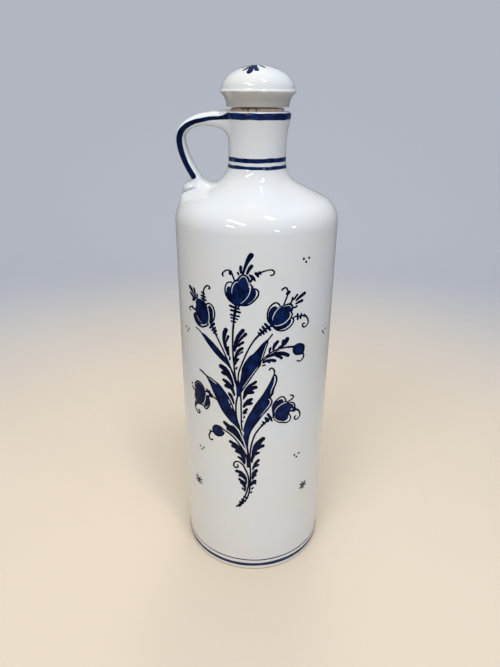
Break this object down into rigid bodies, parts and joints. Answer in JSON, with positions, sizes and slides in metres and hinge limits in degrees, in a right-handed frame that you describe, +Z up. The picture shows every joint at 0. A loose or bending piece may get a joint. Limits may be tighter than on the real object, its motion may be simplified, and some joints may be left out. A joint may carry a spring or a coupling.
{
  "type": "decanter jug",
  "caption": "Tall cylindrical glazed earthenware jug with a narrow neck, a small strap handle and a lift-out domed stopper on a tapered cork.",
  "frame": {"origin": "centre of the foot's underside, on the axis of the body and neck", "axes": "+Z up along the body's axis, the handle at -X, the painted front facing -Y"},
  "size_m": [0.085, 0.085, 0.2789],
  "materials": {
    "body_glaze": "glossy opaque white glaze with cobalt painting",
    "handle_glaze": "glossy opaque white glaze with a cobalt stripe",
    "stopper_glaze": "glossy opaque white glaze",
    "cork": "matte natural cork"
  },
  "bodies": {
    "jug": {"jug_body": "body_glaze", "handle": "handle_glaze"},
    "stopper": {"stopper_head": "stopper_glaze", "stopper_cork": "cork"}
  },
  "joints": [
    {"name": "stopper_lift", "type": "slide", "parent": "jug", "child": "stopper", "axis": [0, 0, 1], "range_m": [0, 0.045]}
  ]
}
